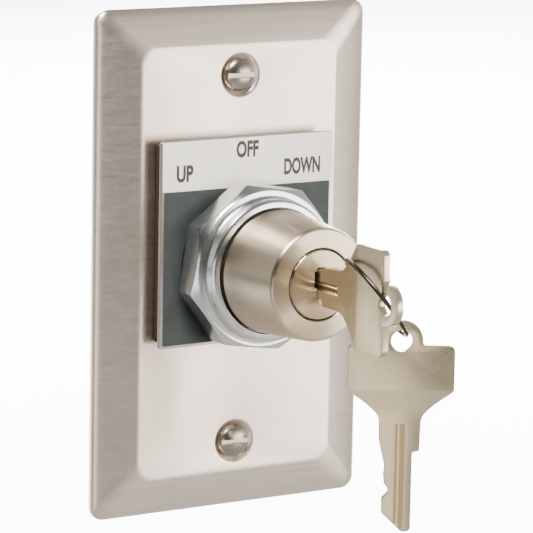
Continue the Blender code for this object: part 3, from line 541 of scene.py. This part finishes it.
SHANK = 1.5
PITCH = 0.8
SLOT_WIDTH, SLOT_DEPTH = 1.1, 0.85


def threaded_profile(head, start, end):
    """A head's profile carried on down a shank with ring-shaped threads."""
    profile = list(head)
    z = start
    while z - PITCH > end:
        profile += [(SHANK, z), (SHANK + 0.28, z - PITCH * 0.5), (SHANK, z - PITCH)]
        z -= PITCH
    return profile + [(SHANK, end), (SHANK - 0.5, end - 0.5), (0, end - 0.5)]


def plate_screw(end):
    node = "plate_screw_" + end
    low, high = bench_box(node)
    centre = (0, (low.y + high.y) / 2)
    top = high.z
    head = [(0, top), (0.9, top - 0.04), (1.7, top - 0.16), (2.4, top - 0.36), (3.0, top - 0.62),
            (3.4, top - 0.86), (SCREW_HEAD, top - 1.06), (3.55, top - 1.2), (1.6, top - 3.0)]
    body = turned(node, threaded_profile(head, top - 3.0, low.z + 0.5), 64, centre)
    under, over = centre[1] - SLOT_WIDTH / 2, centre[1] + SLOT_WIDTH / 2
    slot = pressed(node, [rectangle(-5, under, 5, over, 0.05, 1)], top - SLOT_DEPTH, top + 2)
    add_piece("oval_screw_" + end, cut(body, slot), SCREW_PLATE.material, "operator", [node],
              crisp=30)


plate_screw("top")
plate_screw("bottom")

# %% [markdown]
# ## The legend
# The legend is a stamped metal plate on a plastic spacer. Two fields are printed on it, off-white
# above and slate below, and they stop just short of the edge, which shows bare metal. Printing has
# almost no thickness, so each field is a layer 0.06 mm thick. The three words name what the lock
# does in each position.

# %% Spacer, plate and printed fields
LEGEND_LOW, LEGEND_HIGH = bench_box("legend_plate")
SPACER_LOW, SPACER_HIGH = bench_box("legend_spacer")
FIELD_EDGE = 17.2
PRINT = 0.06


def around(box_low, box_high, inset=0.0, corner=0.6):
    return rectangle(box_low.x + inset, box_low.y + inset, box_high.x - inset, box_high.y - inset, corner, 4)


spacer = pressed("spacer_block", [around(SPACER_LOW, SPACER_HIGH), circle(OPENING)], SPACER_LOW.z,
                 SPACER_HIGH.z, 0.25)
add_piece("spacer_block", spacer, SPACER.material, "operator", ["legend_spacer"])
TOP_OF_METAL = LEGEND_HIGH.z - PRINT
legend = pressed("legend_sheet", [around(LEGEND_LOW, LEGEND_HIGH), circle(OPENING)], LEGEND_LOW.z,
                 TOP_OF_METAL, 0.12)
add_piece("legend_sheet", legend, LEGEND_METAL.material, "operator", ["legend_plate"])
upper = rectangle(LEGEND_LOW.x + 0.25, FIELD_EDGE, LEGEND_HIGH.x - 0.25, LEGEND_HIGH.y - 0.25, 0.3, 3)
white = pressed("legend_band", [upper], TOP_OF_METAL, LEGEND_HIGH.z, 0.01, 1)
add_piece("legend_band", white, LEGEND_WHITE.material, "operator", ["legend_plate"])
lower = rectangle(LEGEND_LOW.x + 0.7, LEGEND_LOW.y + 0.6, LEGEND_HIGH.x - 0.7, FIELD_EDGE - 0.02, 0.2, 3)
slate = pressed("legend_field", [lower, circle(OPENING + 0.3)], TOP_OF_METAL, LEGEND_HIGH.z, 0.01, 1)
add_piece("legend_field", slate, LEGEND_SLATE.material, "operator", ["legend_plate"])


# %% Lettering
LETTER_HEIGHT = 3.8
STROKE = 0.042
WORDS = (("UP", (-16.4, 21.1), 4.3), ("OFF", (-0.3, 25.7), 5.8), ("DOWN", (14.2, 21.1), 9.6))


def word(text, centre, width):
    """Plain capitals, made bolder by STROKE and squeezed to a width and a height in millimetres."""
    curve = bpy.data.curves.new("word_" + text, "FONT")
    curve.body = text
    curve.extrude = 1
    curve.offset = STROKE
    holder = bpy.data.objects.new(curve.name, curve)
    bpy.context.scene.collection.objects.link(holder)
    ready = holder.evaluated_get(bpy.context.evaluated_depsgraph_get())
    bm = bmesh.new()
    bm.from_mesh(bpy.data.meshes.new_from_object(ready))
    bpy.data.objects.remove(holder)
    xs = [v.co.x for v in bm.verts]
    ys = [v.co.y for v in bm.verts]
    wide, tall = max(xs) - min(xs), max(ys) - min(ys)
    for v in bm.verts:
        v.co.x = (centre[0] + ((v.co.x - min(xs)) / wide - 0.5) * width) * MM
        v.co.y = (centre[1] + ((v.co.y - min(ys)) / tall - 0.5) * LETTER_HEIGHT) * MM
        v.co.z = (LEGEND_HIGH.z + (0.02 if v.co.z > 0 else -0.04)) * MM
    mesh = mesh_from(bm, curve.name)
    add_piece("word_" + text.lower(), mesh, LETTER_GREY.material, "operator", ["legend_plate"])


for text, centre, width in WORDS:
    word(text, centre, width)

# %% [markdown]
# ## Seals and the ring nut
# Rubber washers seal the lock to the plate. The nut that clamps it is turned from octagonal bar: a
# lathe leaves the round collar and the cone, and the bar's flats cut the cone in eight arcs. Here
# the same thing is worked out point by point: at each angle the outline is the flat or the lathe's
# corner circle, whichever is nearer the axis, and the cone falls until it meets that outline.


# %% Seals
def seal(name, node, inner=OPENING, outer=None):
    """A washer with rounded outer edges, as wide as the frame's one unless told otherwise."""
    low, high = bench_box(node)
    outer = outer or high.x
    e = min(0.35, (high.z - low.z) / 3)
    profile = [(outer - e, high.z), (outer - e * 0.3, high.z - e * 0.3), (outer, high.z - e),
               (outer, low.z + e), (outer - e, low.z), (inner, low.z), (inner, high.z)]
    add_piece(name, turned(name, profile), RUBBER.material, "operator", [node])


NOSE_FOOT = 13.85
seal("washer_front", "front_gasket")
seal("washer_rear", "rear_gasket")
seal("washer_barrel", "barrel_seal", 12.9, NOSE_FOOT)

# %% Ring nut
NUT_LOW, NUT_HIGH = bench_box("ring_nut")
NUT_FLAT = 17.9
NUT_CORNER = 19.25
NUT_TURN = 14.0
NUT_SLAB = 17.0
CONE_START, CONE_SLOPE = NUT_FLAT - 0.35, 0.66
COLLAR = 16.0
LIP = 14.05


def nut_mesh():
    """Fourteen columns to a side, closer together near the corners."""
    shares = [0, 0.012, 0.03, 0.08, 0.16, 0.26, 0.38, 0.5]
    shares = shares + [1 - s for s in reversed(shares[1:-1])]
    angles = [NUT_TURN + 45 * (side + share) for side in range(8) for share in shares]
    bm = bmesh.new()
    columns = []
    for degrees in angles:
        from_flat = (degrees - NUT_TURN) % 45 - 22.5
        outline = min(NUT_FLAT / math.cos(math.radians(from_flat)), NUT_CORNER)
        meet = NUT_SLAB - 0.15 - CONE_SLOPE * (outline - CONE_START)
        bottom, top = NUT_LOW.z, NUT_HIGH.z
        section = [(OPENING, bottom), (outline - 0.25, bottom), (outline, bottom + 0.25),
                   (outline, meet - 0.12), (outline - 0.08, meet + 0.05),
                   (CONE_START + 0.1, NUT_SLAB - 0.22), (CONE_START - 0.15, NUT_SLAB),
                   (COLLAR + 0.35, NUT_SLAB), (COLLAR + 0.1, NUT_SLAB + 0.1), (COLLAR, NUT_SLAB + 0.35),
                   (COLLAR, top - 0.75), (COLLAR - 0.15, top - 0.35), (COLLAR - 0.45, top - 0.1),
                   (COLLAR - 0.8, top), (LIP + 0.2, top + 0.1), (LIP, top), (LIP, top - 0.4),
                   (OPENING, top - 0.5)]
        c, s = math.cos(math.radians(degrees)), math.sin(math.radians(degrees))
        columns.append([bm.verts.new((r * c * MM, r * s * MM, z * MM)) for r, z in section])
    for here, after in zip(columns, columns[1:] + columns[:1]):
        for k in range(len(here)):
            j = (k + 1) % len(here)
            bm.faces.new((here[k], here[j], after[j], after[k]))
    return mesh_from(bm, "octagon_nut")


add_piece("octagon_nut", nut_mesh(), ZINC.material, "operator", ["ring_nut"], crisp=24)

# %% [markdown]
# ## The lock: barrel and plug
# The barrel is a turned, slightly tapered nose. Its front is faced flat, so light fans out on it in
# two cones. Inside it turns the plug, a core with a keyway in its face. The gap between the two is
# about half a millimetre and reads as a dark ring. The frame's plug stays, and a thin disc on its
# front gives the keyway a crisp, rounded edge.

# %% Barrel
BARREL_LOW, BARREL_HIGH = bench_box("lock_barrel")
NOSE, NOSE_EDGE = 12.6, 0.9
BORE, BORE_BACK = 8.0, 11.7
TAIL_BORE = 4.4


def barrel_mesh():
    """Round the front edge, back along the taper, down the body and out through the bore."""
    front, nose_back = BARREL_HIGH.z, bench_box("barrel_seal")[1].z + 0.3
    profile = arc((NOSE - NOSE_EDGE, front - NOSE_EDGE), NOSE_EDGE, 90, 4, 7)
    profile += [(13.3, (front + nose_back) / 2), (NOSE_FOOT, nose_back + 0.35),
                (NOSE_FOOT - 0.1, nose_back), (NOSE, nose_back), (NOSE, BARREL_LOW.z)]
    profile += [(TAIL_BORE, BARREL_LOW.z), (TAIL_BORE, BORE_BACK), (BORE, BORE_BACK),
                (BORE, front - 0.25), (BORE + 0.2, front)]
    return turned("barrel_nose", profile, 160)


add_piece("barrel_nose", barrel_mesh(), SATIN_NICKEL.material, "operator", ["lock_barrel"],
          crisp=30)

# %% Plug face
PLUG_HIGH = bench_box("lock_plug")[1]
PLUG_RADIUS = 7.55
KEYWAY = ((-0.98, -3.0), (-0.98, -0.6), (-1.6, -0.6), (-1.6, 2.9), (-0.98, 2.9), (-0.98, 3.8), (0.98, 3.8),
          (0.98, -3.0))
face = pressed("plug_face", [circle(PLUG_RADIUS), KEYWAY], PLUG_HIGH.z + 0.01, PLUG_HIGH.z + 0.22, 0.08)
add_piece("plug_face", face, PLUG_NICKEL.material, "plug")

# %% [markdown]
# ## The contact blocks
# Behind the plate, the frame's plain blocks get what their moulds would give them: covers with a
# raised border, latches and ribs, and walls that keep the terminals' wires apart. Each is a handful
# of bars with rounded edges, written for the right block and mirrored for the left one.


# %% Contact block mouldings
def moulding(name, boxes, edge):
    """Round-edged bars, each given by two opposite corners, moulded as one piece."""
    bm = bmesh.new()
    for low, high in boxes:
        corners = bmesh.ops.create_cube(bm, size=1.0)["verts"]
        for v in corners:
            v.co = Vector([(low[i] + (v.co[i] + 0.5) * (high[i] - low[i])) * MM for i in range(3)])
        edges = list({e for v in corners for e in v.link_edges})
        bmesh.ops.bevel(bm, geom=edges, offset=edge * MM, segments=2, profile=0.5, affect="EDGES")
    return mesh_from(bm, name)


def bar(side, x0, x1, y0, y1, z0, z1):
    """A bar on the right block, or its mirror image on the left one."""
    left, right = sorted((side * x0, side * x1))
    return ((left, y0, z0), (right, y1, z1))


def block_mouldings(prefix, side):
    low, high = bench_box(prefix + "_cover")
    inner, outer = sorted((abs(low.x), abs(high.x)))
    top, back, front = high.y, low.z, high.z
    skin = outer - 0.4
    cover = [bar(side, inner, skin, -top, top, back, front)]
    for end in (-1, 1):
        y0, y1 = sorted((end * top, end * (top - 1.4)))
        cover.append(bar(side, inner + 0.1, outer, y0, y1, back, front))
        latch = sorted((end * 6.0, end * 8.4))
        cover.append(bar(side, inner + 0.1, outer + 0.35, *latch, front - 3.6, front - 0.6))
    cover.append(bar(side, inner + 0.1, outer, -top, top, back, back + 1.4))
    cover.append(bar(side, inner + 0.1, outer, -top, top, front - 1.0, front))
    for row in range(5):
        middle = -3.0 + 1.5 * row
        cover.append(bar(side, inner + 0.1, outer - 0.05, middle - 0.3, middle + 0.3, back + 3.5, back + 9.0))
    add_piece(prefix + "_cover_moulding", moulding(prefix + "_cover_moulding", cover, 0.18),
              BLOCK_PLASTIC.material, "operator", [prefix + "_cover"])
    walls = []
    for end in (-1, 1):
        y0, y1 = sorted((end * (top - 0.5), end * 19.0))
        for x in (4.2, 11.8):
            walls.append(bar(side, x - 0.4, x + 0.4, y0, y1, back + 1.0, back + 8.5))
    for y in (-8.6, -4.3, 0.0, 4.3):
        walls.append(bar(side, 2.0, 11.0, y - 0.35, y + 0.35, back - 0.5, back + 0.3))
    walls.append(bar(side, 1.0, 15.0, -top + 0.8, -top + 1.8, back - 0.5, back + 0.3))
    add_piece(prefix + "_ribs", moulding(prefix + "_ribs", walls, 0.15), BLOCK_PLASTIC.material,
              "operator")


block_mouldings("up", -1)
block_mouldings("down", 1)


# %% Return springs
COIL_RADIUS, COIL_WIRE = 1.75, 0.25
COIL_TURNS, POINTS_PER_TURN = 4.5, 20


def return_spring(prefix):
    """A fine coil in the frame's box for it."""
    low, high = bench_box(prefix + "_return_spring")
    x, y = (low.x + high.x) / 2, (low.y + high.y) / 2
    start, end = low.z + COIL_WIRE, high.z - COIL_WIRE
    count = round(COIL_TURNS * POINTS_PER_TURN)
    points = []
    for i in range(count + 1):
        angle = math.tau * i / POINTS_PER_TURN
        points.append((x + COIL_RADIUS * math.cos(angle), y + COIL_RADIUS * math.sin(angle),
                       start + (end - start) * i / count))
    spring = add_piece(prefix + "_coil", wire(prefix + "_coil", points, COIL_WIRE), SPRING.material,
                       "operator", [prefix + "_return_spring"])
    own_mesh(spring)


return_spring("up")
return_spring("down")

# %% [markdown]
# ## The keys
# Both keys are stamped from one strip of nickel silver, 1.8 mm thick: a round tab for the ring, two
# square wings for the fingers, a short shank and the blade, whose cuts set the wafers. A cutter then
# mills a wide and a narrow V groove into each face. The outline is drawn once, with its hole at the
# origin and its tip downward, and used for both.

# %% Key outline
TAB = 4.6
WING_TOP = -0.8
SHOULDER = -23.6
HALF_WING = 11.5
THICK = 1.8
BLADE = ((2.95, -24.3), (2.8, -24.7), (2.8, -40.9), (2.6, -41.5), (2.2, -41.8), (1.0, -41.9), (0.6, -41.8),
         (-0.4, -40.7), (-3.1, -38.2), (-3.5, -37.7), (-3.6, -37.2), (-3.6, -34.9), (-3.45, -34.4),
         (-2.4, -33.4), (-2.3, -32.6), (-2.55, -31.9), (-3.1, -31.3), (-3.3, -29.5), (-3.1, -27.7),
         (-3.3, -26.6), (-4.2, -22.8))


def key_outline():
    """Right side down, along the blade's back and round its tip, then up the cut side."""
    meet = math.degrees(math.asin(WING_TOP / TAB))
    right = arc((0, 0), TAB, 90, meet + 6, 16)
    right += [(TAB + 0.12, -0.62), (TAB + 0.5, WING_TOP)]
    right += arc((HALF_WING - 1.5, WING_TOP - 1.5), 1.5, 90, 0, 6)
    right += arc((HALF_WING - 1.2, -10.3), 1.2, 0, -40, 3)
    right += [(7.6, -13.6), (6.0, -15.0), (5.2, -15.8), (4.75, -16.6), (4.5, -17.6), (4.4, -21.6)]
    left = [(-x, y) for x, y in reversed(right)][:-1]
    return right + [(4.35, SHOULDER), (4.1, SHOULDER - 0.5)] + list(BLADE) + left


# %% Blank and milled grooves
KEY_HOLE = 2.3
GROOVE_LENGTH, GROOVE_MIDDLE = 25.6, -30.9
GROOVES = ((0.45, 0.95), (-0.75, 0.5))


def vee(x, side, level):
    """A square rod on edge, which mills a V groove along the blade."""
    bm = bmesh.new()
    turn = Matrix.Rotation(math.radians(45), 4, "Y")
    size = Matrix.Diagonal((side * MM, GROOVE_LENGTH * MM, side * MM, 1))
    at = Matrix.Translation((x * MM, GROOVE_MIDDLE * MM, level * MM))
    bmesh.ops.create_cube(bm, size=1.0, matrix=at @ turn @ size)
    return mesh_from(bm, "vee", Matrix.Identity(4))


def key_mesh(name, place):
    """A stamped blank with two V grooves milled into each face."""
    flat = Matrix.Identity(4)
    half = THICK / 2
    blank = pressed(name, [key_outline(), circle(KEY_HOLE, count=32)], -half, half, 0.16, 2, flat)
    for sign in (1, -1):
        for x, side in GROOVES:
            blank = cut(blank, vee(x, side, sign * half))
    blank.transform(STAND_UP @ place)
    return blank


def frame_of(centre, turn):
    return Matrix.Translation([c * MM for c in centre]) @ turn


KEY_TOP = bench_box("key")[1].z
edge_on = Matrix.Rotation(math.radians(-90), 4, "Z") @ Matrix.Rotation(math.radians(90), 4, "X")
inserted = frame_of((0, 0, KEY_TOP - TAB), edge_on)
add_piece("key_in_lock", key_mesh("key_in_lock", inserted), KEY_NICKEL.material, "inserted_key", ["key"],
          crisp=28)
SPARE_TURN = math.radians(31.5)
SPARE_LOW, SPARE_HIGH = bench_box("spare_key")
middle = (SPARE_LOW + SPARE_HIGH) / 2
hole = Vector((middle.x, SPARE_HIGH.y - TAB, middle.z))
hung = frame_of(hole, Matrix.Rotation(-SPARE_TURN, 4, "Y"))
add_piece("key_spare", key_mesh("key_spare", hung), KEY_NICKEL.material, "hanging_key", ["spare_key"],
          crisp=28)

# %% [markdown]
# ## The ring
# The ring is a loop of round spring wire that passes through both keys' holes. The frame's box for
# it gives its centre, and it faces the same way as the frame's ring: left, forward and a little down.

# %% Key ring
RING_RADIUS, RING_WIRE = 10.15, 0.5
RING_NORMAL = Vector((-0.7497, -0.6116, -0.2528)).normalized()
ring_low, ring_high = bench_box("key_ring")
flat_ring = [(x, y, 0) for x, y in circle(RING_RADIUS, count=144)]
ring_place = frame_of((ring_low + ring_high) / 2, RING_NORMAL.to_track_quat("Z", "Y").to_matrix().to_4x4())
add_piece("wire_ring", wire("wire_ring", flat_ring, RING_WIRE, True, STAND_UP @ ring_place),
          RING_STEEL.material, "ring", ["key_ring"])

# %% [markdown]
# ## Studio
# The camera stands to the left of the switch and a little above it, with a long lens, so that the
# plate's edges stay nearly parallel. Metal shows what surrounds it, so broad panels of light do most
# of the work: a large one in front on the right, one above on the left, a weak one in front on the
# left for the hanging key, and one high at the back that lights the floor there. The floor is painted
# with shade and light for the metal to mirror, by distance: painted shade under the switch and far in
# front of it, paler between the two, and palest behind.

# %% Camera
CAMERA_AT = Vector((-0.4035, -0.6529, 0.1363))
LOOK_AT = Vector((0.0076, -0.0051, -0.0021))
CAMERA_ROLL = math.radians(1.103)
camera_data = bpy.data.cameras.new("camera")
camera_data.lens = 233.57
camera_data.sensor_width = 36
camera_data.clip_start, camera_data.clip_end = 0.05, 50
camera = bpy.data.objects.new("camera", camera_data)
bpy.context.scene.collection.objects.link(camera)
aim = (LOOK_AT - CAMERA_AT).to_track_quat("-Z", "Y").to_matrix().to_4x4()
camera.matrix_world = Matrix.Translation(CAMERA_AT) @ aim @ Matrix.Rotation(CAMERA_ROLL, 4, "Z")
bpy.context.scene.camera = camera


# %% Floor and lights
def area_light(name, place, look, size, power, colour=(1, 1, 1)):
    light = bpy.data.lights.new(name, "AREA")
    light.shape = "RECTANGLE"
    light.size, light.size_y = size
    light.energy = power
    light.color = colour
    holder = bpy.data.objects.new(name, light)
    holder.location = place
    holder.rotation_euler = (Vector(look) - Vector(place)).to_track_quat("-Z", "Y").to_euler()
    bpy.context.scene.collection.objects.link(holder)


FLOOR_DROP = 0.7
FLOOR_REACH = 25
FLOOR_START, FLOOR_SPAN = -7.0, 10.0
# Painted shade and light on the floor by distance along y: dark under the switch and far in front, paler
# between, palest behind.
FLOOR_PAINTED_SHADE_AND_LIGHT = ((0.0, 0.05), (0.2, 0.10), (0.33, 0.24), (0.43, 0.62), (0.53, 0.5), (0.62, 0.22),
               (0.75, 0.22), (0.85, 0.9))
floor_finish = Finish("studio floor", (0.82, 0.82, 0.82), 0.0, 0.9, Specular_IOR_Level=0.1)
along = floor_finish.add("ShaderNodeSeparateXYZ")
floor_finish.link(floor_finish.place, along.inputs[0])
depth = floor_finish.number("MULTIPLY_ADD", along.outputs["Y"], 1 / FLOOR_SPAN)
depth.node.inputs[2].default_value = -FLOOR_START / FLOOR_SPAN
# The floor's painted shade and light, read from its distance along y.
painted_shade_and_light = floor_finish.ramp(depth, *FLOOR_PAINTED_SHADE_AND_LIGHT)
floor_finish.paint(floor_finish.mix(floor_finish.noise(3, detail=2), painted_shade_and_light, (0.88, 0.88, 0.88), "MULTIPLY"))
bm = bmesh.new()
bmesh.ops.create_grid(bm, x_segments=4, y_segments=4, size=FLOOR_REACH)
floor = bpy.data.objects.new("floor", mesh_from(bm, "floor", Matrix.Translation((0, 0, -FLOOR_DROP))))
floor.data.materials.append(floor_finish.material)
bpy.context.scene.collection.objects.link(floor)

area_light("front_panel", (1.05, -1.22, -0.10), (0, 0, 0), (1.05, 0.85), 16, (1.0, 0.96, 0.91))
area_light("upper_panel", (-0.55, -0.75, 1.35), (0, 0, 0), (0.9, 0.6), 75, (1.0, 0.98, 0.95))
area_light("left_panel", (-1.02, -1.42, -0.28), (0, 0, 0), (0.66, 0.85), 3.4, (1.0, 0.97, 0.93))
area_light("background_panel", (2.6, 3.8, 1.2), (2.6, 3.8, -1), (5.0, 5.0), 2100)


# %% [markdown]
# The room round the switch is painted by direction: bright on the right and behind it, dark on the
# left, and dimmer overhead than low down. That difference is what gives flat metal its shape.

# %% Room
def room():
    world = bpy.data.worlds.new("studio")
    bpy.context.scene.world = world
    world.use_nodes = True
    nodes, links = world.node_tree.nodes, world.node_tree.links
    toward = nodes.new("ShaderNodeTexCoord").outputs["Generated"]
    split = nodes.new("ShaderNodeSeparateXYZ")
    links.new(toward, split.inputs[0])

    def blend(axis, start, end, low, high):
        span = nodes.new("ShaderNodeMapRange")
        span.interpolation_type = "SMOOTHSTEP"
        for name, value in (("From Min", start), ("From Max", end), ("To Min", low), ("To Max", high)):
            span.inputs[name].default_value = value
        links.new(split.outputs[axis], span.inputs["Value"])
        return span.outputs["Result"]

    def combine(operation, a, b):
        node = nodes.new("ShaderNodeMath")
        node.operation = operation
        links.new(a, node.inputs[0])
        links.new(b, node.inputs[1])
        return node.outputs[0]

    side = blend("X", -0.05, 0.8, 0.10, 2.3)
    height = blend("Z", -0.05, 0.40, 1.0, 0.28)
    behind = blend("Y", 0.25, 0.7, 0.0, 1.0)
    sky = nodes["Background"]
    sky.inputs["Color"].default_value = (1.0, 0.985, 0.965, 1)
    links.new(combine("ADD", combine("MULTIPLY", side, height), behind), sky.inputs["Strength"])


room()
